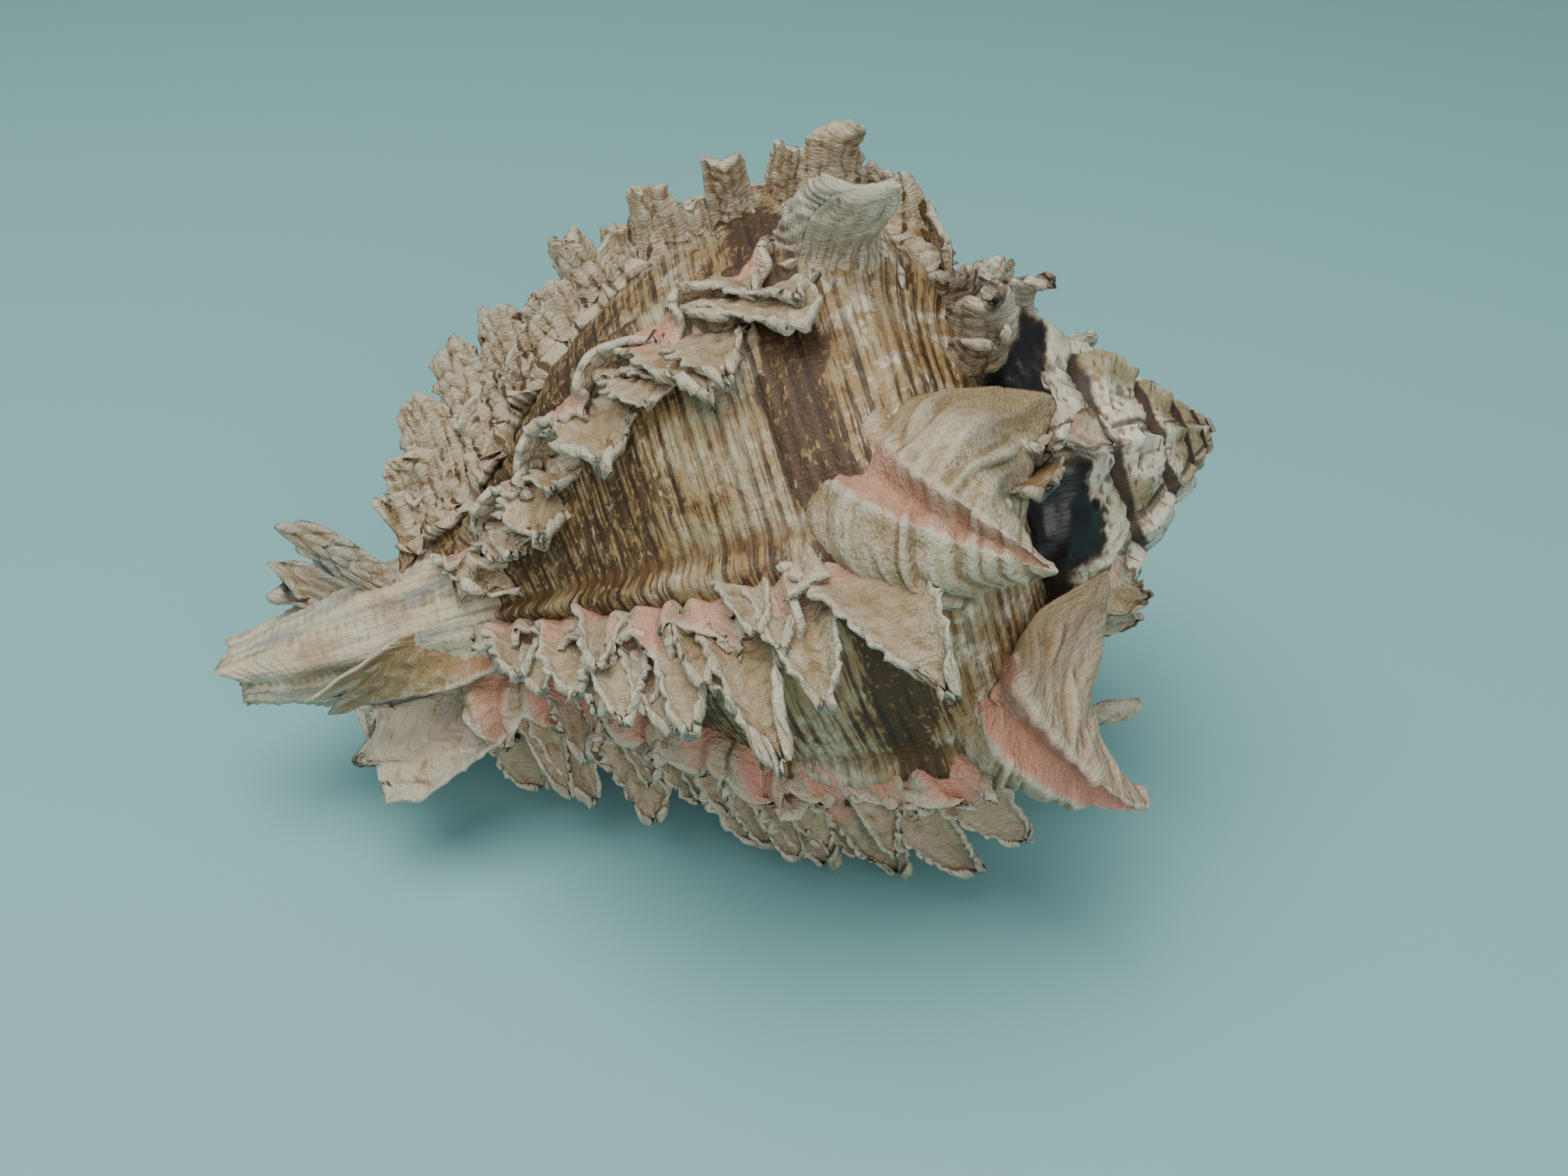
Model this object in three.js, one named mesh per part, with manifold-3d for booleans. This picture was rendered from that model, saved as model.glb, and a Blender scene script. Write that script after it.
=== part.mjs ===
// A regal murex shell as it lies on a table: spire to +X, siphonal canal to -X, dorsal side up.
// Millimetres, +Z up. The origin is the middle of the shell's footprint, on the table.
import * as THREE from 'three';
import Module from 'manifold-3d';

// Driving dimensions. A place on the shell is (angle, drop, reach): the angle about the coiling axis
// in degrees, 0 at the front and 90 on top, the drop from the apex along the axis, and the reach
// out from the axis, both in millimetres. The angle grows with the shell, so earlier whorls are
// the same places one turn back.
const shellLength = 120;
const axisTilt = 14;
const whorlGrowth = 1.7;
const lateGrowthShare = 0.5;
const varixCount = 7;
const firstVarixAngle = -72;
const varixSpacing = 50.8;
const lipAngle = firstVarixAngle + (varixCount - 1) * varixSpacing;
const lipThickness = 3;
const earlierWhorls = 5;
const wornTip = 0.35;

// The outline of one whorl at angle 0, from the suture over the shoulder to the base.
const whorlOutline = [
  [25, 18.9], [26, 21.6], [28, 25.6], [31, 29.3], [34.5, 32], [39, 33.1], [46, 32.7], [54, 30.7],
  [61, 27.2], [68, 21.8], [74, 16], [80, 11], [85, 8.5],
];
// The canal and the swelling round it, which the whorls grow around.
const canalOutline = [[56, 13], [70, 12.6], [82, 11], [93, 9], [104, 7.3], [113, 5.6], [119, 4]];

// The varix is a low rib whose spines reach out and bend back from the direction of growth.
const varixRib = 3.2;
const varixRiseAngle = 7;
const varixFallAngle = 3;

// Spine tips of each varix, from the shoulder to the canal: drop, reach, angle.
const spineTips = [
  [[14, 37, -90], [33, 36, -86], [40, 37, -90], [48, 35.4, -94], [56, 33.8, -95], [63, 31, -95],
    [71, 27, -95], [79, 25, -92]],
  [[19.5, 39, -31], [33, 40, -42], [39, 43.8, -53], [48, 43.2, -60], [56, 40, -60], [62, 34, -56],
    [68, 28, -52], [74, 30, -56], [81, 27, -62], [88, 27.9, -78]],
  [[26, 41, 21], [38, 44, 10], [49, 43, 12], [54, 44, 6], [62, 40, 10], [69, 35, 10], [74, 28, 12],
    [81, 21, 12]],
  [[31, 45.5, 72], [44, 40.5, 61], [53, 38, 57], [65, 34, 54], [74, 24, 48], [84, 14, 40]],
  [[31, 42.3, 122], [46, 43.5, 120], [57, 42.5, 120], [68, 39.5, 120], [72, 35, 122], [78, 33.5, 122],
    [84, 31.5, 122], [90, 26, 120], [93, 20, 118]],
  [[30, 47, 171], [44, 46, 168], [54, 45, 168], [63, 42, 168], [71, 38, 168], [78, 34, 168],
    [85, 29, 166], [91, 23, 164]],
  [[29, 49, 230], [40, 51.2, 229.4], [51, 47, 226], [61, 43.5, 224], [70, 39, 222], [78, 34, 220],
    [86, 28, 216], [92, 22, 212]],
];
const spineWidth = 3.1;
const spineDepth = 2.1;
const spineTipSize = 0.75;
const spineRoot = 5;

// Ends of the canals of earlier lips, which stand off the last canal: base, then tip.
const oldCanals = [
  [[86, 6, 0], [105, 10.5, 4]],
  [[88, 6, 95], [105, 17.5, 92]],
  [[98, 4, 120], [112, 11, 122]],
  [[86, 7, -42], [105, 16.5, -38]],
  [[84, 6, -100], [96, 17, -96]],
];
const oldCanalSize = 3.4;

// The aperture: an oval tunnel that opens at the lip and runs back into the last whorl.
const apertureMiddle = [50, 20.5];
const apertureHalf = [17.5, 10.5];
const apertureTurn = 130;
const apertureEndSize = 0.45;
const slotWidth = 2.4;
const slotReach = 14;

const radians = THREE.MathUtils.degToRad;

function interpolate(outline, drop) {
  if (drop <= outline[0][0] || drop >= outline[outline.length - 1][0]) return 0;
  let next = 1;
  while (outline[next][0] < drop) next += 1;
  const [dropA, reachA] = outline[next - 1];
  const [dropB, reachB] = outline[next];
  return reachA + ((reachB - reachA) * (drop - dropA)) / (dropB - dropA);
}

// Each whorl is whorlGrowth times the one before it, and the last one grows more slowly.
function growthScale(angle) {
  const turns = angle > 0 ? (lateGrowthShare * angle) / 360 : angle / 360;
  return whorlGrowth ** turns;
}

function place(drop, reach, angle) {
  const tilt = radians(axisTilt);
  const front = -reach * Math.cos(radians(angle));
  const height = reach * Math.sin(radians(angle));
  return new THREE.Vector3(
    -drop * Math.cos(tilt) - height * Math.sin(tilt),
    front,
    -drop * Math.sin(tilt) + height * Math.cos(tilt),
  );
}

// A closed solid from rings of places that all run the same way round, ends closed by fans.
function loftRings(rings) {
  const sides = rings[0].length;
  const corners = rings.flat();
  const triangles = [];
  for (let ring = 0; ring + 1 < rings.length; ring += 1) {
    for (let side = 0; side < sides; side += 1) {
      const a = ring * sides + side;
      const b = ring * sides + ((side + 1) % sides);
      triangles.push([a, b, b + sides], [a, b + sides, a + sides]);
    }
  }
  [[0, true], [rings.length - 1, false]].forEach(([ring, isFirst]) => {
    const middle = new THREE.Vector3();
    rings[ring].forEach((corner) => middle.addScaledVector(corner, 1 / sides));
    corners.push(middle);
    for (let side = 0; side < sides; side += 1) {
      const a = ring * sides + side;
      const b = ring * sides + ((side + 1) % sides);
      triangles.push(isFirst ? [b, a, corners.length - 1] : [a, b, corners.length - 1]);
    }
  });
  return { corners, triangles };
}

const wasm = await Module();
wasm.setup();

// The triangles are turned over where a ring order has left the solid inside out.
function toSolid({ corners, triangles }) {
  const signedVolume = triangles.reduce((sum, [a, b, c]) => (
    sum + corners[a].dot(new THREE.Vector3().crossVectors(corners[b], corners[c]))), 0);
  const outward = signedVolume > 0 ? triangles : triangles.map(([a, b, c]) => [a, c, b]);
  return new wasm.Manifold(new wasm.Mesh({
    numProp: 3,
    vertProperties: new Float32Array(corners.flatMap((corner) => corner.toArray())),
    triVerts: new Uint32Array(outward.flat()),
  }));
}

function ribHeight(angle) {
  const turned = ((angle - firstVarixAngle) % varixSpacing + varixSpacing) % varixSpacing;
  if (turned < varixFallAngle) return varixRib * (1 - turned / varixFallAngle);
  const before = varixSpacing - turned;
  return before < varixRiseAngle ? varixRib * (1 - before / varixRiseAngle) : 0;
}

// The reach of the outer surface is that of the whorl, or the canal, that stands out furthest.
function outerReach(drop, angle) {
  let reach = interpolate(canalOutline, drop);
  for (let whorl = 0; whorl <= earlierWhorls; whorl += 1) {
    const scale = growthScale(angle - whorl * 360);
    const whorlReach = scale * interpolate(whorlOutline, drop / scale);
    const rib = whorlReach > 0 ? scale * ribHeight(angle - whorl * 360) : 0;
    reach = Math.max(reach, whorlReach + rib * Math.min(1, whorlReach / 20));
  }
  return Math.max(reach, drop * 0.55 * (drop < 8), 0.6);
}

function bodyRings() {
  const angles = [];
  for (let varix = 0; varix < varixCount; varix += 1) {
    const crest = firstVarixAngle + varix * varixSpacing;
    [-30, -19, -varixRiseAngle, 0, varixFallAngle, 12].forEach((step) => {
      if (crest + step <= lipAngle) angles.push(crest + step);
    });
  }
  const wall = lipAngle - 360 + lipThickness;
  const turn = angles.filter((angle) => angle > wall);
  turn.unshift(wall);
  const drops = [
    1, 3, 5, 7, 9, 11.5, 14, 16.5, 19, 21, 23, 26, 29, 32, 36, 40, 45, 50, 55, 60, 65, 70, 75, 80,
    84, 88, 93, 98, 104, 109, 114, 118,
  ];
  return drops.map((drop) => turn.map((angle) => place(drop, outerReach(drop, angle), angle)));
}

// A spine or an old canal end: six-sided rings from a root inside the shell to a blunt tip.
function thorn(root, tip, across, deep, tipSize, sag) {
  const along = new THREE.Vector3().subVectors(tip, root);
  const axial = new THREE.Vector3().subVectors(place(1, 0, 0), place(0, 0, 0));
  const side = new THREE.Vector3().crossVectors(along, axial).normalize();
  const wide = new THREE.Vector3().crossVectors(side, along).normalize();
  const rings = [[0, 1], [0.6, 0.62], [1, 0]].map(([part, size]) => {
    const middle = new THREE.Vector3().copy(root).addScaledVector(along, part);
    middle.addScaledVector(side, sag * 4 * part * (1 - part));
    return Array.from({ length: 6 }, (_, corner) => {
      const turn = (corner * Math.PI) / 3;
      const halfWide = tipSize + (across - tipSize) * size;
      const halfDeep = tipSize + (deep - tipSize) * size;
      return new THREE.Vector3().copy(middle)
        .addScaledVector(wide, halfWide * Math.cos(turn))
        .addScaledVector(side, halfDeep * Math.sin(turn));
    });
  });
  return toSolid(loftRings(rings));
}

function spineSolids() {
  const solids = [];
  spineTips.forEach((row, varix) => {
    const crest = firstVarixAngle + varix * varixSpacing;
    row.forEach(([drop, reach, angle], index) => {
      const rootDrop = index === 0 ? drop + 9 : drop - 1;
      const rootReach = Math.max(outerReach(rootDrop, crest - 4) - spineRoot, 3);
      const widen = index === 0 ? 1.9 : 1;
      solids.push(thorn(place(rootDrop, rootReach, crest - 4), place(drop, reach, angle),
        spineWidth * widen, spineDepth * widen, spineTipSize, 0));
    });
  });
  return solids;
}

function oldCanalSolids() {
  return oldCanals.map(([base, tip]) => (
    thorn(place(...base), place(...tip), oldCanalSize, oldCanalSize, oldCanalSize * 0.75, 0)));
}

// The tunnel's sections are ovals in planes through the axis, smaller the further in they lie.
function apertureSolid() {
  const rings = [];
  const steps = 8;
  for (let step = -1; step <= steps; step += 1) {
    const angle = lipAngle - (step * apertureTurn) / steps * (step < 0 ? 0.25 : 1);
    const scale = growthScale(angle);
    const size = 1 - (1 - apertureEndSize) * Math.max(step, 0) / steps;
    rings.push(Array.from({ length: 12 }, (_, corner) => {
      const turn = (corner * Math.PI) / 6;
      return place(
        scale * (apertureMiddle[0] + apertureHalf[0] * size * Math.cos(turn)),
        scale * (apertureMiddle[1] + apertureHalf[1] * size * Math.sin(turn)),
        angle,
      );
    }));
  }
  return toSolid(loftRings(rings));
}

// The canal is open along its underside by a narrow slot that runs from the aperture to its end.
function slotSolid() {
  const slotAngle = lipAngle - 360 + 20;
  const rings = [[70, 6], [95, 3.4], [shellLength + 2, 1.2]].map(([drop, depth]) => (
    [[-0.5, depth], [0.5, depth], [0.5, slotReach], [-0.5, slotReach]].map(([side, reach]) => {
      const spread = THREE.MathUtils.radToDeg((side * slotWidth) / reach);
      return place(drop, reach, slotAngle + spread);
    })));
  return toSolid(loftRings(rings));
}

let shell = toSolid(loftRings(bodyRings()));
[...spineSolids(), ...oldCanalSolids()].forEach((solid) => {
  shell = shell.add(solid);
});
shell = shell.subtract(apertureSolid()).subtract(slotSolid());

// The lowest spine tips are worn flat where the shell stands on them.
const lowest = shell.boundingBox().min[2];
const table = new THREE.BoxGeometry(4 * shellLength, 4 * shellLength, shellLength);
table.translate(0, 0, lowest + wornTip - shellLength / 2);
const tableCorners = [];
const tableTriangles = [];
const tablePlaces = table.getAttribute('position');
const cornerNumbers = new Map();
for (let index = 0; index < table.index.count; index += 1) {
  const corner = new THREE.Vector3().fromBufferAttribute(tablePlaces, table.index.getX(index));
  const key = corner.toArray().join(' ');
  if (!cornerNumbers.has(key)) {
    cornerNumbers.set(key, tableCorners.length);
    tableCorners.push(corner);
  }
  tableTriangles.push(cornerNumbers.get(key));
}
const tableFaces = [];
for (let index = 0; index < tableTriangles.length; index += 3) {
  tableFaces.push(tableTriangles.slice(index, index + 3));
}
shell = shell.subtract(toSolid({ corners: tableCorners, triangles: tableFaces }));

const box = shell.boundingBox();
const middleX = (box.min[0] + box.max[0]) / 2;
const middleY = (box.min[1] + box.max[1]) / 2;
const shellGeometry = new THREE.BufferGeometry();
const cut = shell.getMesh();
shellGeometry.setAttribute('position', new THREE.BufferAttribute(new Float32Array(cut.vertProperties), 3));
shellGeometry.setIndex(new THREE.BufferAttribute(new Uint32Array(cut.triVerts), 1));
shellGeometry.translate(-middleX, -middleY, -box.min[2]);

const shellMaterial = new THREE.MeshStandardMaterial({ color: 0xd9cbb4, roughness: 0.6, metalness: 0 });
const shellMesh = new THREE.Mesh(shellGeometry, shellMaterial);
shellMesh.name = 'murex_shell';

const murex = new THREE.Group();
murex.add(shellMesh);

export default murex;
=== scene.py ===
import math
import bpy
import mathutils
import numpy as np
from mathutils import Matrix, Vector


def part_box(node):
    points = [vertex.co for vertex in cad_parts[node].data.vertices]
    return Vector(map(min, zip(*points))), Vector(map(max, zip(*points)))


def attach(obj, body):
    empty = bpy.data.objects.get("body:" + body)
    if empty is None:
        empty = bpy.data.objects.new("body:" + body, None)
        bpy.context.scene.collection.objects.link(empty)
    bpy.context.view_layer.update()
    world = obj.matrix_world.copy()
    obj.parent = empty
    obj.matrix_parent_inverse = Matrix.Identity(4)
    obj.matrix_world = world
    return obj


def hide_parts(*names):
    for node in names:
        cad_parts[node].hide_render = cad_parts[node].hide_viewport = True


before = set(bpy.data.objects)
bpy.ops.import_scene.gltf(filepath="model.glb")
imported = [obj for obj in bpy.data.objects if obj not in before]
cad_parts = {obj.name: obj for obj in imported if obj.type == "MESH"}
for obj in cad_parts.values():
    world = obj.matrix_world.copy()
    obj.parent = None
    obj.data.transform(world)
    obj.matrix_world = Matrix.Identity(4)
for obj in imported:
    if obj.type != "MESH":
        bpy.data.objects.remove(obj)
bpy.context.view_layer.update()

node = "murex_shell"
boxLow, boxHigh = [np.array(corner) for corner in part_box(node)]

# A place on the shell is (drop, reach, angle): the drop from the apex down the coiling axis and the
# reach out from it, in shell millimetres, and the angle about it in degrees, 0 in front, 90 on top.
shell = {
    "boxWidth": 114.70,         # the frame's box in shell millimetres
    "apexShare": (1.0071, 0.4845, 0.5776),   # where the apex lies in that box
    "tilt": 14.0,               # the axis rises towards the apex
    "whorlGrowth": 1.7,         # each whorl is this much bigger than the last
    "lateShare": 0.5,           # the last whorl grows this share as fast
    "firstVarix": -72.0,        # the first varix of the last whorl
    "varixStep": 50.8,
    "varices": 7,
}
unit = float(boxHigh[0] - boxLow[0]) / shell["boxWidth"]
apex = boxLow + (boxHigh - boxLow) * np.array(shell["apexShare"])
lipAngle = shell["firstVarix"] + (shell["varices"] - 1) * shell["varixStep"]

# One whorl's outline at angle 0, suture to base, and the canal which the whorls grow around.
whorlOutline = [(25.0, 18.9), (26.0, 21.6), (28.0, 25.6), (31.0, 29.3), (34.5, 32.0), (39.0, 33.1),
                (46.0, 32.7), (54.0, 30.7), (61.0, 27.2), (68.0, 21.8), (74.0, 16.0), (80.0, 11.0), (85.0, 8.5)]
canalOutline = [(56.0, 13.0), (70.0, 12.6), (82.0, 11.0), (93.0, 9.0), (104.0, 7.3), (113.0, 5.6), (120.0, 4.0)]


def smoothCurve(points, count):
    # a rounded line through the points (Catmull-Rom), then evenly spaced along its length
    p = np.array(points, float)
    ends = np.vstack([2 * p[0] - p[1], p, 2 * p[-1] - p[-2]])
    s = np.linspace(0, len(p) - 1, 40 * len(p))
    i = np.minimum(s.astype(int), len(p) - 2)
    f = (s - i)[:, None]
    a, b, c, d = ends[i], ends[i + 1], ends[i + 2], ends[i + 3]
    line = 0.5 * (2 * b + (c - a) * f + (2 * a - 5 * b + 4 * c - d) * f ** 2 + (3 * b - a - 3 * c + d) * f ** 3)
    run = np.concatenate([[0], np.cumsum(np.linalg.norm(np.diff(line, axis=0), axis=1))])
    even = np.linspace(0, run[-1], count)
    return np.stack([np.interp(even, run, line[:, k]) for k in range(p.shape[1])], -1)


outlineFine = smoothCurve(whorlOutline, 400)
canalFine = smoothCurve(canalOutline, 200)
outlineRun = np.concatenate([[0], np.cumsum(np.linalg.norm(np.diff(outlineFine, axis=0), axis=1))])


def growth(angle):
    # the whorl's size at an angle: a power of the turns made, with slower turns after angle 0
    return shell["whorlGrowth"] ** (np.where(angle > 0, shell["lateShare"] * angle, angle) / 360)


def spot(drop, reach, angle):
    # (drop, reach, angle) as a point with the axis first, so that points can be mixed
    turn = np.radians(angle)
    return np.stack(np.broadcast_arrays(drop, reach * np.cos(turn), reach * np.sin(turn)), -1).astype(float)


def toFrame(points):
    # turns the axis down by its tilt and moves the points to the apex, in metres
    tilt = math.radians(shell["tilt"])
    down, front, high = points[..., 0], points[..., 1], points[..., 2]
    x = -down * math.cos(tilt) - high * math.sin(tilt)
    z = -down * math.sin(tilt) + high * math.cos(tilt)
    points = apex + unit * np.stack([x, -front, z], -1)
    # worn flat where it rests: below half a millimetre, the height dies away towards the floor
    low = 0.0005
    points[..., 2] = np.where(points[..., 2] > low, points[..., 2], low * np.exp(np.minimum(points[..., 2] / low - 1, 0)))
    return points


def bodyReach(drop, angle):
    # how far out the surface is: the furthest of the canal, this whorl and the earlier ones
    reach = np.interp(drop, canalFine[:, 0], canalFine[:, 1], left=0.5, right=0.5)
    for whorl in range(4):
        size = growth(angle - 360 * whorl)
        there = np.interp(drop / size, outlineFine[:, 0], outlineFine[:, 1], left=0, right=0)
        reach = np.maximum(reach, there * size)
    return reach


def smoothStep(low, high, x):
    s = np.clip((x - low) / (high - low), 0, 1)
    return s * s * (3 - 2 * s)


def ripple(x, y, seed, count=9):
    # soft unevenness from about -1 to 1: a sum of waves that run in seeded directions
    rng = np.random.default_rng(seed)
    total = 0
    for k in range(count):
        way, phase, pitch = rng.uniform(0, math.pi), rng.uniform(0, 2 * math.pi), rng.uniform(0.5, 2.0)
        total = total + np.sin(pitch * (x * math.cos(way) + y * math.sin(way)) + phase)
    return total / count ** 0.5 * 0.8


def crossNormal(grid):
    # the unit normal at each point of a grid: across its rows and columns
    n = np.cross(np.gradient(grid, axis=0), np.gradient(grid, axis=1))
    return n / np.maximum(np.linalg.norm(n, axis=-1, keepdims=True), 1e-9)


madeTriangles = []


def hollowness(rings, outwards):
    # 0 on ridges, 0.5 where flat, 1 in hollows: how far the points around a point lie out along its normal
    near = np.pad(rings, ((2, 2), (0, 0), (0, 0)), mode="edge")
    around = np.stack([near[4:], near[:-4], np.roll(rings, 2, 1), np.roll(rings, -2, 1)]) - rings
    spread = np.linalg.norm(around, axis=-1).mean(0) + 0.05
    value = (around.mean(0) * crossNormal(rings) * outwards).sum(-1) / spread
    return np.clip(0.5 + 2.0 * value, 0, 1)


def makePiece(name, rings, marks, material):
    # a closed mesh from rings of points, with a middle point closing each end, its faces turned outwards
    count, sides = rings.shape[:2]
    points = np.vstack([rings.reshape(-1, 3), rings[0].mean(0), rings[-1].mean(0)])
    start = (np.arange(count - 1)[:, None] * sides + np.arange(sides)).ravel()
    following = (np.arange(count - 1)[:, None] * sides + (np.arange(sides) + 1) % sides).ravel()
    quads = np.stack([start, following, following + sides, start + sides], -1)
    side = np.arange(sides)
    last = (count - 1) * sides
    fans = np.vstack([
        np.stack([(side + 1) % sides, side, np.full(sides, count * sides)], -1),
        np.stack([last + side, last + (side + 1) % sides, np.full(sides, count * sides + 1)], -1),
    ])
    triangles = np.vstack([quads[:, [0, 1, 2]], quads[:, [0, 2, 3]], fans])
    a, b, c = [points[triangles[:, k]] for k in range(3)]
    inward = np.einsum("ij,ij->", a, np.cross(b, c)) < 0
    if inward:
        quads, fans = quads[:, ::-1], fans[:, ::-1]
    marks = {**marks, "hollow": hollowness(rings, 1 if inward else -1)}
    mesh = bpy.data.meshes.new(name)
    mesh.from_pydata(toFrame(points).tolist(), [], quads.tolist() + fans.tolist())
    mesh.polygons.foreach_set("use_smooth", np.ones(len(mesh.polygons), bool))
    for mark, values in marks.items():
        flat = np.broadcast_to(values, (count, sides))
        layer = mesh.attributes.new(mark, "FLOAT", "POINT")
        both = np.concatenate([flat.ravel(), [flat[0].mean(), flat[-1].mean()]])
        layer.data.foreach_set("value", both.astype(np.float32))
    mesh.update()
    piece = bpy.data.objects.new(name, mesh)
    bpy.context.scene.collection.objects.link(piece)
    mesh.materials.append(material)
    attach(piece, "root")
    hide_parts(node)
    madeTriangles.append(len(triangles))
    print(f"made {name}: {len(triangles)} triangles")


class Value:
    # a number's socket: arithmetic on it adds Math nodes
    def __init__(self, kit, socket):
        self.kit, self.socket = kit, socket

    def math(self, operation, first, second=0.0):
        return self.kit.node("ShaderNodeMath", {"operation": operation}, {0: first, 1: second})

    def __add__(self, other):
        return self.math("ADD", self, other)

    def __sub__(self, other):
        return self.math("SUBTRACT", self, other)

    def __rsub__(self, other):
        return self.math("SUBTRACT", other, self)

    def __mul__(self, other):
        return self.math("MULTIPLY", self, other)

    def __mod__(self, other):
        return self.math("FLOORED_MODULO", self, other)

    def __neg__(self):
        return self.math("MULTIPLY", self, -1.0)

    __radd__ = __add__
    __rmul__ = __mul__

    def cos(self):
        return self.math("COSINE", self)

    def abs(self):
        return self.math("ABSOLUTE", self)

    def atMost(self, other):
        return self.math("MINIMUM", self, other)

    def atLeast(self, other):
        return self.math("MAXIMUM", self, other)

    def between(self, low, high):
        # 0 up to low, 1 from high, smooth in between
        return self.kit.node("ShaderNodeMapRange", {"interpolation_type": "SMOOTHSTEP"},
                             {"Value": self, "From Min": low, "From Max": high})

    def stops(self, places):
        # a number read off a line through (place, height) stops, places from 0 to 1
        return self.kit.ramp(self, [(place, (height,) * 3) for place, height in places]).asNumber()

    def asNumber(self):
        return self.kit.node("ShaderNodeRGBToBW", {}, {0: self})


class Kit:
    # one material: node() adds any node, the others are the few that recur
    def __init__(self, name):
        self.material = bpy.data.materials.new(name)
        self.material.use_nodes = True
        self.tree = self.material.node_tree
        self.surface = self.tree.nodes["Principled BSDF"]

    def node(self, kind, settings, inputs, output=0):
        made = self.tree.nodes.new(kind)
        for key, value in settings.items():
            if key == "stops":
                while len(made.color_ramp.elements) < len(value):
                    made.color_ramp.elements.new(1.0)
                for element, (place, colour) in zip(made.color_ramp.elements, value):
                    element.position, element.color = place, (*colour, 1.0)
            else:
                setattr(made, key, value)
        self.connect(made, inputs)
        return Value(self, made.outputs[output])

    def connect(self, made, inputs):
        for key, value in inputs.items():
            if isinstance(value, Value):
                self.tree.links.new(value.socket, made.inputs[key])
            else:
                made.inputs[key].default_value = value

    def mark(self, name):
        return self.node("ShaderNodeAttribute", {"attribute_name": name}, {}, "Fac")

    def ramp(self, value, stops):
        return self.node("ShaderNodeValToRGB", {"stops": stops}, {0: value})

    def mix(self, first, second, factor):
        first, second = [c if isinstance(c, Value) else (*c, 1.0) for c in (first, second)]
        return self.node("ShaderNodeMix", {"data_type": "RGBA"}, {0: factor, 6: first, 7: second}, 2)

    def noise(self, scale, detail=3.0, rough=0.55, where=None):
        where = where or self.node("ShaderNodeTexCoord", {}, {}, "Object")
        return self.node("ShaderNodeTexNoise", {}, {"Vector": where, "Scale": scale, "Detail": detail,
                                                    "Roughness": rough})

    def place(self, across, along):
        # a slanted plane through the noise, which has no straight seams then
        return self.node("ShaderNodeCombineXYZ", {}, {0: across, 1: along, 2: across * 0.43 + along * 0.37 + 0.3})

    def finish(self, colour, roughness, height, distance):
        bump = self.node("ShaderNodeBump", {}, {"Height": height, "Distance": distance, "Strength": 1.0})
        self.connect(self.surface, {"Base Color": colour, "Roughness": roughness, "Normal": bump,
                                    "Specular IOR Level": 0.4})
        return self.material


paint = {
    "cream": (0.235, 0.206, 0.116),
    "white": (0.55, 0.525, 0.425),
    "straw": (0.21, 0.125, 0.038),
    "brown": (0.066, 0.028, 0.006),
    "darkBrown": (0.02, 0.008, 0.004),
    "black": (0.006, 0.006, 0.007),
    "pink": (0.58, 0.27, 0.195),
    "palePink": (0.45, 0.325, 0.255),
    "tan": (0.23, 0.145, 0.058),
    "sand": (0.31, 0.23, 0.122),
    "chalk": (0.45, 0.40, 0.285),
    "grey": (0.24, 0.24, 0.21),
    "moss": (0.29, 0.235, 0.11),
    "ivory": (0.41, 0.335, 0.215),
    "bone": (0.345, 0.31, 0.215),
    "umber": (0.092, 0.047, 0.01),
    # painted shade, laid into the hollows of the frills and the canal
    "paintedHollowShade": (0.145, 0.085, 0.034),
}


def threadLines(kit, run, along, pitch, stretch=0.1):
    # thin lines in the grooves between threads, broken here and there along their length
    breaks = kit.noise(1.0, 3.0, 0.6, kit.place(run * 0.8, along * stretch))
    wave = -(run * (2 * math.pi / pitch)).cos()
    return (wave + (breaks - 0.5) * 4.0).between(0.5, 1.1)


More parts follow.
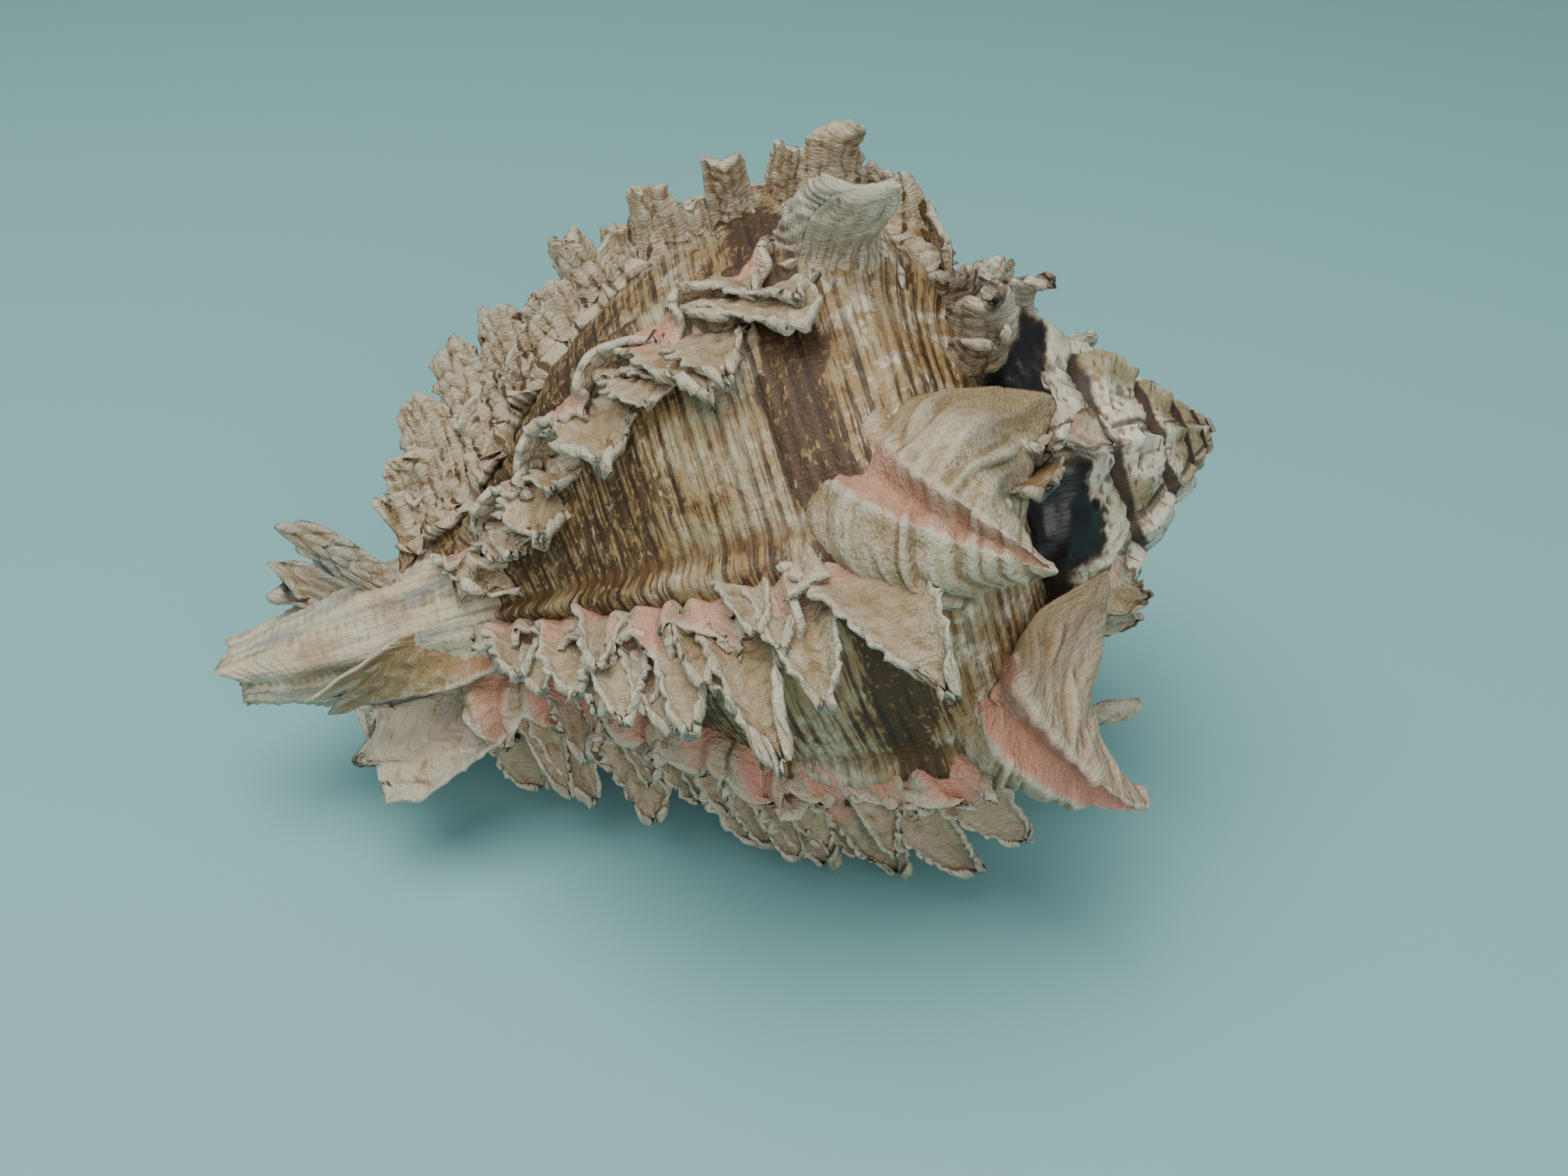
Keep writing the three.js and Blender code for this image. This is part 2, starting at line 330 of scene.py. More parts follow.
def whorlPaint():
    # cream with rows of brown specks and fine broken brown lines along the whorl, darker in bands, painted shade in the
    # hollows
    kit = Kit("whorl")
    run, turn, within = kit.mark("run"), kit.mark("turn"), kit.mark("within")
    along = turn * 0.58
    warp = kit.noise(1.0, 2.0, 0.5, kit.place(run * 0.15, along * 0.12)) - 0.5
    wander = run + warp * 5
    zone = (wander * (1 / 75)).stops([(0.0, 0.55), (0.08, 0.35), (0.16, 0.5), (0.24, 0.45), (0.295, 0.6), (0.315, 1.0),
                                      (0.36, 1.0), (0.38, 0.4), (0.45, 0.35), (0.52, 0.55), (0.60, 0.8),
                                      (0.68, 0.9), (0.75, 0.85), (1.0, 0.6)])
    turned = (turn - shell["firstVarix"] + warp * 8) % shell["varixStep"]
    nearVarix = turned.between(38, 50) + (1 - turned.between(0, 6))
    afterVarix = turned.between(8, 14) * (1 - turned.between(18, 28))
    patch = kit.noise(1.0, 4.0, 0.6, kit.place(run * 0.16, along * 0.13))
    banded = wander.between(22, 24) * (1 - wander.between(26.5, 28.5))
    amber = 1 - wander.between(19, 24)
    dark = (zone + banded * 0.3 + (patch - 0.5) * 2.2 + nearVarix * 0.2 + afterVarix * 0.2).between(0.05, 1.0)
    lines = threadLines(kit, run, along, whorl["threadPitch"])
    fine = threadLines(kit, run + 3, along, whorl["threadPitch"] / 2, 0.3)
    specks = kit.noise(1.0, 2.0, 0.5, kit.place(run * 1.5, along * 1.0))
    specks = (specks + dark * 0.22).between(0.5, 0.72)
    mottle = kit.noise(1.0, 4.0, 0.65, kit.place(run * 0.75, along * 0.2))
    filled = (dark * 1.15 + (mottle - 0.5) * 3.0 + (specks - 0.5) * 0.55 + banded * 0.55 - 0.92).between(0.0, 0.9)
    base = kit.mix(paint["cream"], paint["bone"], kit.noise(110.0, 3.0).between(0.42, 0.6))
    wash = kit.noise(1.0, 4.0, 0.6, kit.place(run * 0.3 + 40, along * 0.22))
    base = kit.mix(base, paint["straw"], (wash + dark * 0.3 + amber * 0.08).between(0.52, 0.8) * 0.8)
    pale = kit.noise(1.0, 4.0, 0.65, kit.place(run * 0.28 + 9, along * 0.3)).between(0.5, 0.62)
    base = kit.mix(base, paint["white"], pale * (1 - banded) * (0.32 + amber * 0.38))
    colour = kit.mix(base, paint["tan"], specks * 0.7)
    colour = kit.mix(colour, paint["umber"], filled * 0.9)
    colour = kit.mix(colour, paint["darkBrown"], (specks * filled * (dark * 1.6 - 0.9)).between(0.0, 0.5) * 0.7)
    colour = kit.mix(colour, paint["brown"], fine * (dark * 0.6 + 0.4))
    colour = kit.mix(colour, paint["darkBrown"], lines * (dark * 0.9 + 0.35).atMost(1.0) * 0.92)
    rosy = kit.noise(60.0).between(0.5, 0.66) * nearVarix * (1 - dark)
    colour = kit.mix(colour, paint["palePink"], rosy * 0.35)
    growthLines = kit.noise(1.0, 4.0, 0.7, kit.place(run * 0.15, along * 2.2))
    colour = kit.mix(colour, paint["cream"], growthLines.between(0.55, 0.75) * (1 - dark * 0.7) * 0.4)
    hollow = kit.mark("hollow")
    # painted shade: brown in the hollows
    colour = kit.mix(colour, paint["brown"], hollow.between(0.53, 0.8) * (0.3 + dark * 0.5))
    colour = kit.mix(colour, paint["white"], (1 - hollow.between(0.2, 0.46)) * (1 - dark) * 0.3)
    colour = kit.mix(colour, paint["palePink"], within.between(0.2, 0.7))
    height = growthLines * 0.5 + kit.noise(900.0, 4.0) * 0.5 + kit.noise(3500.0, 3.0) * 0.3 - specks * 0.2
    rough = 0.55 - within * 0.3
    return kit.finish(colour, rough, height, 0.0003)


def spirePaint():
    # white worn ridges, brown at the sutures, painted shade in the hollows, black glaze between the last spire ridges
    kit = Kit("spire")
    run, turn = kit.mark("run"), kit.mark("turn")
    turned = (turn - shell["firstVarix"] - 8) % shell["varixStep"]
    along = turn * 0.4
    wander = (kit.noise(160.0) - 0.5)
    isLast = turn.between(-478, -470)
    inGap = (turned + wander * 22).between(7, 12) * (1 - (turned + wander * 16).between(40, 46))
    inRun = (run + wander * 14).between(11.5, 13.5)
    glaze = inGap * inRun * isLast
    base = kit.mix(paint["white"], paint["cream"], kit.noise(140.0).between(0.45, 0.65))
    stain = kit.noise(1.0, 3.0, 0.6, kit.place(run * 0.3, along * 0.4)).between(0.5, 0.72)
    colour = kit.mix(base, paint["tan"], stain * 0.8)
    colour = kit.mix(colour, paint["palePink"], kit.noise(200.0).between(0.55, 0.7) * 0.5)
    uneven = run + wander * 9
    suture = (1 - uneven.between(2.4, 5.0)).atLeast(uneven.between(19.0, 21.0))
    behindRib = (turned + wander * 14 + run * 0.4).between(2, 6) * (1 - (turned + wander * 14 + run * 0.4).between(7, 11))
    streak = kit.noise(1.0, 3.0, 0.6, kit.place(run * 0.9, along * 0.25)).between(0.56, 0.68)
    colour = kit.mix(colour, paint["straw"], uneven.between(12, 20) * stain * 0.6)
    marks = suture.atLeast(behindRib * 0.9).atLeast(streak * 0.85)
    colour = kit.mix(colour, paint["darkBrown"], marks * 0.95)
    edge = inGap * inRun * (run + wander * 10).between(4, 10)
    colour = kit.mix(colour, paint["brown"], (edge * isLast * 1.3).atMost(1.0))
    hollow = kit.mark("hollow")
    # painted shade: brown in the hollows
    colour = kit.mix(colour, paint["brown"], hollow.between(0.56, 0.85) * 0.7)
    colour = kit.mix(colour, paint["black"], glaze)
    height = kit.noise(1.0, 4.0, 0.7, kit.place(run * 0.15, along * 2.2)) * 0.5 + kit.noise(1200.0, 4.0) * 0.4
    return kit.finish(colour, 0.55 - glaze * 0.22, height * (1 - glaze * 0.7), 0.0004)


def frillPaint(name, pale, deep, pink, dashes, rimmed=0.0, mossy=0.0):
    # spines and frills: blotched from one colour to another, pink in the grooves, brown dashes behind, painted shade in
    # the hollows and at the roots
    kit = Kit(name)
    run, along, front, edge, tooth = [kit.mark(k) for k in ("run", "along", "front", "edge", "tooth")]
    blotch = kit.noise(150.0, 4.0, 0.6).between(0.42, 0.62)
    colour = kit.mix(paint[pale], paint[deep], blotch * 0.75)
    stain = kit.noise(330.0, 4.0, 0.65)
    colour = kit.mix(colour, paint["straw"], stain.between(0.55, 0.7) * 0.45)
    moss = kit.noise(170.0, 5.0, 0.65).between(0.53, 0.64)
    colour = kit.mix(colour, paint["moss"], moss * (1 - front) * mossy)
    crust = kit.noise(1.0, 4.0, 0.7, kit.place(run * 0.35, along * 1.6))
    colour = kit.mix(colour, paint["white"], crust.between(0.52, 0.7) * 0.45)
    colour = kit.mix(colour, paint["tan"], (1 - crust.between(0.3, 0.46)) * 0.6)
    hollow = kit.mark("hollow")
    # painted shade: darker in the hollows, broken up by the stain noise
    colour = kit.mix(colour, paint["paintedHollowShade"], (hollow + (stain - 0.5) * 0.4).between(0.57, 0.9) * 0.6)
    colour = kit.mix(colour, paint["white"], (1 - hollow.between(0.15, 0.45)) * 0.4)
    lines = threadLines(kit, run, along, 1.3, 0.75) * (1 - front) * (1 - (tooth + stain * 0.3).between(0.5, 0.95))
    colour = kit.mix(colour, paint["brown"], lines * dashes)
    blush = front * 0.95 + (kit.noise(90.0) - 0.5) * 0.9 - tooth.between(0.25, 0.6) * 0.7 - 0.5
    blush = blush.between(0.0, 0.55)
    # painted shade: tan at the roots and on the inner faces away from the rims
    paintedRecessShade = (1 - tooth.between(0.0, 0.1)).atLeast(front * (1 - edge.between(0.15, 0.85)) * 0.5)
    colour = kit.mix(colour, paint["tan"], paintedRecessShade * 0.6)
    colour = kit.mix(colour, paint["pink"], blush * pink)
    colour = kit.mix(colour, paint["white"], (edge + (crust - 0.5) * 0.6).between(0.8, 1.0) * 0.4)
    rim = (edge + (stain - 0.5) * 0.8).between(0.85, 1.0)
    colour = kit.mix(colour, paint["brown"], rim * rimmed)
    growthLines = kit.noise(1.0, 3.0, 0.6, kit.place(run * 0.5, along * 3.5))
    height = kit.noise(700.0, 5.0, 0.65) * 0.6 + kit.noise(2600.0, 4.0) * 0.45 + crust * 0.5 + growthLines * 0.4
    return kit.finish(colour, 0.62, height, 0.001)


def canalPaint():
    # grey and chalky streaks down its length with tan crusts, the bore pinkish, painted shade in the hollows
    kit = Kit("canal")
    run, turn, within = kit.mark("run"), kit.mark("turn"), kit.mark("within")
    streak = kit.noise(1.0, 4.0, 0.65, kit.place(run * 0.1, turn * 0.09))
    base = kit.mix(paint["grey"], paint["chalk"], streak.between(0.36, 0.56))
    base = kit.mix(base, paint["tan"], (kit.noise(90.0, 3.0) - run * 0.004).between(0.1, 0.25) * 0.55)
    checks = threadLines(kit, turn * 0.13, run, 1.0, 0.9)
    base = kit.mix(base, paint["brown"], checks * (1 - run.between(80, 106)) * 0.55)
    base = kit.mix(base, paint["white"], kit.noise(240.0, 4.0).between(0.55, 0.7) * 0.5)
    hollow = kit.mark("hollow")
    # painted shade: darker in the hollows
    base = kit.mix(base, paint["paintedHollowShade"], hollow.between(0.56, 0.85) * 0.45)
    colour = kit.mix(base, paint["palePink"], within)
    height = kit.noise(700.0, 5.0, 0.65) * 0.7 + kit.noise(2600.0, 4.0) * 0.35 + streak
    return kit.finish(colour, 0.6, height, 0.0006)


# The last whorl: rings round the whorl's section, from under the lip round to it, then back inside.
whorl = {
    "ringPoints": 260,          # points across the outside
    "returnPoints": 24,
    "turns": 300,
    "hiddenStart": 25.0,        # degrees that the first rings run in under the lip
    "threadPitch": 1.55,        # between the spiral threads, shell millimetres
    "threadHeight": 0.08,
    "cordHeight": 0.2,         # stronger cords, every sixth thread
    "unevenness": 0.35,
    "ribHeight": 2.2,           # swelling of the surface up to a varix
    "apertureMiddle": (49.0, 18.5),
    "apertureHalf": (17.0, 9.5),
    "apertureDepth": 130.0,
    "apertureEnd": 0.4,
}


print("making the materials")
whorlMaterial = whorlPaint()
spireMaterial = spirePaint()
canalMaterial = canalPaint()
frillMaterials = {
    "rosy": frillPaint("rosyFrill", "ivory", "palePink", 0.95, 0.1),
    "white": frillPaint("whiteFrill", "chalk", "sand", 0.6, 0.1, 0.0, 0.6),
    "mixed": frillPaint("mixedFrill", "ivory", "sand", 0.75, 0.3),
    "striped": frillPaint("stripedFrill", "chalk", "white", 0.6, 0.6),
    "dashed": frillPaint("dashedFrill", "ivory", "straw", 0.35, 0.95),
    "canal": frillPaint("canalFrill", "sand", "grey", 0.1, 0.8),
    "tan": frillPaint("tanFrill", "sand", "tan", 0.3, 0.6),
    "scaly": frillPaint("scalyFrill", "white", "sand", 0.3, 0.3, 0.8),
    "dark": frillPaint("darkFrill", "tan", "brown", 0.0, 0.3, 0.5),
    "grey": frillPaint("greyFrill", "chalk", "grey", 0.3, 0.35),
}
finishes = {"V0": "grey", "V1": "rosy", "V2": "white", "V3": "mixed", "V4": "dashed", "V5": "tan", "lip": "white"}


def ribShape(angle):
    # the surface swells towards a varix and falls off quickly behind it
    turned = np.mod(angle - shell["firstVarix"], shell["varixStep"])
    before = shell["varixStep"] - turned
    return np.exp(-(before / 7.0) ** 1.5) + np.exp(-(turned / 3.0) ** 2)


def whorlRings(angles, across, back, ribs=1.0, folds=0.0):
    # each ring: the outline times the growth, raised by threads and ribs, and a way back near the axis
    curve = smoothCurve(whorlOutline, across)
    run = np.linspace(0, outlineRun[-1], across)
    size = growth(angles)[:, None]
    drop, reach = curve[None, :, 0] * size, curve[None, :, 1] * size
    slope = np.gradient(curve, axis=0)
    out = np.stack([-slope[:, 1], slope[:, 0]], -1) / np.linalg.norm(slope, axis=1)[:, None]
    here = run[None, :] * size
    threads = np.cos(2 * math.pi * run[None, :] / whorl["threadPitch"])
    cords = np.exp(-((np.mod(run[None, :] / whorl["threadPitch"], 6) - 3) / 1.1) ** 2)
    along = np.radians(angles)[:, None] * reach
    rough = ripple(here / 3.0, along / 5.0, 11) * 0.5 + ripple(here / 1.2, along / 1.6, 12) * 0.22
    fade = smoothStep(0, 6, run)[None, :] * smoothStep(0, 8, run[-1] - run)[None, :]
    lift = (threads * whorl["threadHeight"] + cords * whorl["cordHeight"] + rough * whorl["unevenness"]
            + ribShape(angles)[:, None] * whorl["ribHeight"] * ribs
            + folds * ripple(angles[:, None] / 9 + run[None, :] * 0.12, run[None, :] / 7, 13)
            + folds * 0.7 * np.mod(angles[:, None] / 6.5 + 0.5 * ripple(run[None, :] / 3, along / 8, 14), 1)
            ) * fade * size
    drop, reach = drop + lift * out[None, :, 0], reach + lift * out[None, :, 1]
    wayBack = np.linspace(curve[-1, 0], curve[0, 0], back)[None, :] * size
    inner = np.full(back, 3.0)[None, :] * size
    drops = np.concatenate([drop, wayBack], 1)
    reaches = np.concatenate([reach, inner], 1)
    marks = np.concatenate([run, np.linspace(run[-1], 0, back)])
    return spot(drops, reaches, angles[:, None]), marks


def makeLastWhorl():
    angles = np.linspace(lipAngle - 360 - whorl["hiddenStart"], lipAngle, whorl["turns"])
    rings, run = whorlRings(angles, whorl["ringPoints"], whorl["returnPoints"])
    count = rings.shape[1]
    # the aperture: ovals in planes through the axis, smaller the further in they lie
    depth = np.linspace(0, 1, 44) ** 1.3
    inside = lipAngle - depth * whorl["apertureDepth"]
    shrink = 1 - (1 - whorl["apertureEnd"]) * depth
    outer = rings[-1]
    flat = np.stack([outer[:, 0], np.hypot(outer[:, 1], outer[:, 2])], -1)
    middle = np.array(whorl["apertureMiddle"]) * growth(lipAngle)
    away = flat - middle
    turn = np.arctan2(away[:, 1], away[:, 0])
    half = whorl["apertureHalf"]
    oval = np.stack([half[0] * np.cos(turn), half[1] * np.sin(turn)], -1)
    size = growth(inside)[:, None]
    drops = (whorl["apertureMiddle"][0] + oval[None, :, 0] * shrink[:, None]) * size
    reaches = (whorl["apertureMiddle"][1] + oval[None, :, 1] * shrink[:, None]) * size
    tunnel = spot(drops, reaches, inside[:, None])
    mix = np.array([0.35, 0.75])[:, None, None]
    edge = outer[None] * (1 - mix) + tunnel[:1] * mix
    everything = np.concatenate([rings, edge, tunnel])
    turns = np.concatenate([angles, np.full(2, lipAngle), inside])[:, None]
    within = np.concatenate([np.zeros(len(angles)), [0.5, 0.8], np.ones(len(inside))])[:, None]
    makePiece("lastWhorl", everything, {"run": run[None, :], "turn": turns, "within": within}, whorlMaterial)


# The earlier whorls, coiled up to the apex.
spire = {"whorls": 5.5, "ringsPerWhorl": 130, "ringPoints": 90, "ribs": 1.7, "folds": 1.5}


def makeSpire():
    end = lipAngle - 360 - whorl["hiddenStart"] + 1
    angles = np.linspace(end - 360 * spire["whorls"], end, int(spire["whorls"] * spire["ringsPerWhorl"]))
    rings, run = whorlRings(angles, spire["ringPoints"], 14, spire["ribs"], spire["folds"])
    makePiece("spire", rings, {"run": run[None, :], "turn": angles[:, None], "within": 0.0}, spireMaterial)


# The varices: crest angle, lean of the crest line as (drop, degrees), web height, then the teeth from the
# shoulder to the canal as (drop of the base, drop, reach and angle of the tip, depth of the groove).
varices = {
    "V0": {"crest": -72, "lean": [(20, 0), (90, 0)], "ends": (36, 84), "web": 3.0, "teeth": [
        (33, 16.4, 29.5, -62, 6), (41, 33, 36, -86, 2.5), (46, 40, 37, -90, 2.5), (52, 48, 35.4, -94, 2.5),
        (58, 56, 33.8, -95, 2.5), (64, 63, 31, -95, 2), (71, 71, 27, -95, 2), (79, 79, 25, -92, 2)]},
    "V1": {"crest": -21, "lean": [(20, 17), (25, 15), (30, 0), (34, 1), (56, 1), (64, 8), (90, 4)],
           "ends": (36, 91), "web": 2.6, "teeth": [
        (33, 19.5, 39, -31, 9), (41, 33, 40, -42, 3.5), (46.5, 39, 42.3, -51, 3), (52, 48, 41.5, -57, 3),
        (57.5, 56, 38.5, -57, 3), (63, 62, 34, -54, 2), (69, 68, 28, -52, 2), (75, 74, 29, -55, 2),
        (81, 81, 25, -60, 2), (87, 88, 23.5, -70, 2)]},
    "V2": {"crest": 30, "lean": [(20, 17), (32, 17), (38, 13), (41.6, 8), (49, -1), (60, -4), (90, -4)],
           "ends": (47, 86), "web": 2.6, "teeth": [
        (36, 26, 41, 21, 10), (45, 38, 44, 10, 3.5), (51, 49, 43, 12, 3.5), (57, 54, 44, 6, 3),
        (62, 62, 40, 10, 2.5), (68, 69, 35, 10, 2.5), (74, 74, 28, 12, 2), (81, 81, 21, 12, 2)]},
    "V3": {"crest": 81, "lean": [(20, 7), (38, 6), (48, 1), (60, -2), (90, -8)], "ends": (44, 88),
           "web": 2.8, "teeth": [
        (39, 31, 45.5, 72, 8), (49, 44, 38.6, 62, 1), (57, 53.2, 36.3, 58, 1), (66, 65.4, 31.2, 55.8, 1),
        (74, 74.6, 22, 49.8, 1), (83, 84.4, 13, 40.8, 1)]},
    "V4": {"crest": 131, "lean": [(20, 5), (40, 4), (60, -3), (90, -6)], "ends": (26, 95), "web": 4.0, "teeth": [
        (39.5, 32, 43.4, 122, 7), (50, 48, 43.6, 120, 3), (58, 57, 42.5, 120, 3), (66, 68, 39.5, 120, 2.5),
        (72, 72, 35, 122, 2), (78, 78, 33.5, 122, 2), (83, 84, 31.5, 122, 2), (88, 90, 26, 120, 2),
        (92, 93, 20, 118, 2)]},
    "V5": {"crest": 182, "lean": [(20, 4), (90, -4)], "ends": (28, 93), "web": 4.0, "teeth": [
        (42, 30, 47, 171, 7), (51, 44, 46, 168, 3), (58, 54, 45, 168, 3), (65, 63, 42, 168, 2.5),
        (72, 71, 38, 168, 2), (78, 78, 34, 168, 2), (84, 85, 29, 166, 2), (90, 91, 23, 164, 2)]},
    "lip": {"crest": 232.8, "lean": [(20, 2), (90, -2)], "ends": (30, 95), "web": 4.5, "teeth": [
        (42, 29, 49, 230, 7), (50, 40, 51.2, 229.4, 3), (57, 51, 47, 226, 3), (64, 61, 43.5, 224, 2.5),
        (71, 70, 39, 222, 2), (78, 78, 34, 220, 2), (85, 86, 28, 216, 2), (91, 92, 22, 212, 2)]},
}
sheet = {
    "columns": 440,
    "rows": 28,
    "rimThick": 0.75,
    "footThick": 5.5,
    "sunk": 1.4,                # how deep the foot is set into the whorl
    "webLean": 0.75,            # the web leans back by this share of its height
    "crimp": 0.9,               # unevenness of the rim
    "toothShare": 0.36,         # how far the sheet itself goes out towards a spine's tip
}


def makeVarix(name, varix, material, size=1.0, columns=0, rows=0):
    # columns along the crest, rows from the foot to the rim: each column is a quadratic curve that starts
    # along the surface's normal and ends at its share of the way from the web's rim to its tooth's tip
    columns, rows = columns or sheet["columns"], rows or sheet["rows"]
    lean = np.array(varix["lean"], float)
    line = np.linspace(varix["ends"][0], varix["ends"][1], 500) * size
    crest = varix["crest"] + np.interp(line / size, lean[:, 0], lean[:, 1])
    reach = bodyReach(line, crest)
    path = spot(line, reach, crest)
    run = np.concatenate([[0], np.cumsum(np.linalg.norm(np.diff(path, axis=0), axis=1))])
    q = np.linspace(0, run[-1], columns)
    drop, crest, reach = np.interp(q, run, line), np.interp(q, run, crest), np.interp(q, run, reach)
    slope = np.gradient(reach, drop)
    kernel = np.hanning(31) / np.hanning(31).sum()
    slope = np.convolve(np.pad(slope, 15, mode="edge"), kernel, mode="valid")
    normal = np.stack([-slope, np.cos(np.radians(crest)), np.sin(np.radians(crest))], -1)
    normal /= np.linalg.norm(normal, axis=1, keepdims=True)
    onward = np.stack([0 * crest, -np.sin(np.radians(crest)), np.cos(np.radians(crest))], -1)
    foot = spot(drop, reach - sheet["sunk"] * size, crest)
    teeth = np.array([tooth for tooth in varix["teeth"] if tooth[0] > varix["ends"][0] - 3], float)
    base = teeth[:, 0] * size
    tips = spot(teeth[:, 1] * size, teeth[:, 2] * size, teeth[:, 3])
    bounds = np.concatenate([[line[0]], (base[1:] + base[:-1]) / 2, [line[-1]]])
    k = np.clip(np.searchsorted(bounds, drop) - 1, 0, len(base) - 1)
    side = np.where(drop < base[k], base[k] - bounds[k], bounds[k + 1] - base[k])
    x = (drop - base[k]) / side
    g = np.clip(1.1 * (1 - np.abs(x)) ** 1.15, 0, 1) * sheet["toothShare"]
    seed = int(abs(varix["crest"])) + 7
    web = varix["web"] * size * (1 + 0.3 * ripple(q / (3 * size), 0 * q, seed))
    rim = foot + normal * (web + sheet["sunk"] * size)[:, None] - onward * (web * sheet["webLean"])[:, None]
    rim = rim * (1 - g)[:, None] + tips[k] * g[:, None]
    length = np.linalg.norm(rim - foot, axis=1)
    crimp = ripple(q / (0.45 * size), 0 * q, seed + 1) * sheet["crimp"] * size * (1 - 0.6 * g)
    control = foot + normal * (0.6 * length)[:, None]
    rim = rim + (rim - control) / np.linalg.norm(rim - control, axis=1)[:, None] * crimp[:, None]
    v = np.linspace(0, 1, rows)[None, :, None]
    front = (1 - v) ** 2 * foot[:, None] + 2 * v * (1 - v) * control[:, None] + v ** 2 * rim[:, None]
    along = np.gradient(front, axis=1)
    along /= np.linalg.norm(along, axis=-1, keepdims=True)
    out = onward[:, None] - (onward[:, None] * along).sum(-1, keepdims=True) * along
    out /= np.linalg.norm(out, axis=-1, keepdims=True)
    v = v[..., 0]
    raiseBy = 0.5 * teeth[k, 4] * size * np.sin(math.pi * np.abs(x) ** 1.3)
    raiseBy = raiseBy * (0.8 + 0.7 * ripple(q / (2.5 * size), 0 * q, seed + 5))
    rise = raiseBy[:, None] * smoothStep(0.0, 0.55, v)
    curl = 0.8 * size * smoothStep(0.75, 1, v) * (1 - g)[:, None]
    height = v * length[:, None]
    bumps = ripple(q[:, None] / (2.2 * size), height / (2.2 * size), seed + 2) * 0.35
    bumps = bumps + ripple(q[:, None] / (0.8 * size), height / (0.8 * size), seed + 3) * 0.14
    scales = np.mod(height / (1.7 * size) + 0.4 * ripple(q[:, None] / 3, height / 6, seed + 4), 1)
    bumps = (bumps + 0.22 * scales) * size * smoothStep(0, 0.15, v)
    front = front + out * (rise + curl + bumps)[..., None]
    back = crossNormal(front)
    sign = np.sign((back * out).sum(-1).mean())
    thick = (sheet["rimThick"] + sheet["footThick"] * (1 - v) ** 3) * size
    threads = 0.16 * np.cos(2 * math.pi * q / (1.5 * size))[:, None] * (1 - v ** 8)
    behind = front - back * sign * (thick + (threads + 0.1 * scales) * size)[..., None]
    rings = np.concatenate([front, behind[:, ::-1]], 1)
    shape = (columns, rows)
    marks = {
        "run": np.broadcast_to(drop[:, None] / size, (columns, 2 * rows)),
        "turn": np.broadcast_to(crest[:, None], (columns, 2 * rows)),
        "front": np.concatenate([np.ones(shape), np.zeros(shape)], 1),
        "edge": np.concatenate([np.broadcast_to(v, shape), np.broadcast_to(v, shape)[:, ::-1]], 1),
        "along": np.concatenate([height, height[:, ::-1]], 1),
        "tooth": np.broadcast_to(0.1 + 0.45 * np.abs(x)[:, None], (columns, 2 * rows)),
    }
    makePiece(name, rings, marks, material)


# A spine: guide lines run from its root to its tip, and rings go round through them: the outside of one
# flank, its rim, the groove, the other rim, the outside of the other flank and the back.
horn = {"rings": 90, "sidePoints": 15, "unevenness": 0.45, "scallop": 0.12}


def hornRings(guides):
    # guides: 8 lines x rings x 3, in the order foot, flank, rim, groove, rim, flank, foot, back
    def between(lines):
        # rounded across through the given guide lines
        p = np.stack([guides[k] for k in lines])
        ends = np.concatenate([2 * p[:1] - p[1:2], p, 2 * p[-1:] - p[-2:-1]])
        s = np.linspace(0, len(p) - 1, horn["sidePoints"] * (len(p) - 1) + 1)[:-1]
        i = s.astype(int)
        f = (s - i)[:, None, None]
        a, b, c, d = ends[i], ends[i + 1], ends[i + 2], ends[i + 3]
        return 0.5 * (2 * b + (c - a) * f + (2 * a - 5 * b + 4 * c - d) * f ** 2 + (3 * b - a - 3 * c + d) * f ** 3)
    loop = np.concatenate([between([6, 7, 0, 1, 2]), between([2, 3, 4]), between([4, 5, 6])])
    for blur in range(2):
        loop = (np.roll(loop, 1, 0) + 2 * loop + np.roll(loop, -1, 0)) / 4
    return np.swapaxes(loop, 0, 1)


